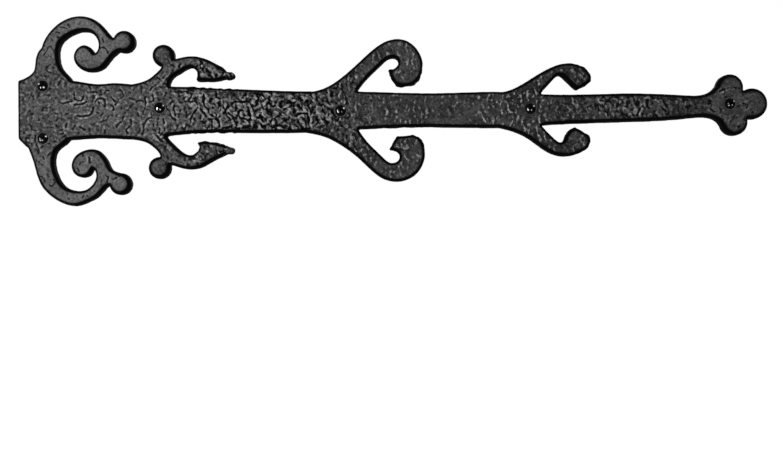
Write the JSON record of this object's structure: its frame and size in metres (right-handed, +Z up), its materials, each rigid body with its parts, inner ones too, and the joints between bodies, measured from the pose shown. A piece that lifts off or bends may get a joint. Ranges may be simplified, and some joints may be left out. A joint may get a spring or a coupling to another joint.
{
  "type": "decorative hinge front",
  "caption": "Black cast iron dummy strap with scrolls, leaves, hooks and a three-lobed finial, screwed flat to a door beside its hinge.",
  "frame": {"origin": "middle of the butt edge, on the flat back", "axes": "+X along the strap from the butt edge to the finial, +Y into the door, +Z up"},
  "size_m": [0.4575, 0.0263, 0.1159],
  "materials": {
    "strap": "black satin coating over a rough cast skin",
    "screws": "black semi-gloss"
  },
  "bodies": {
    "root": {"strap": "strap", "screws": "screws"}
  },
  "joints": []
}
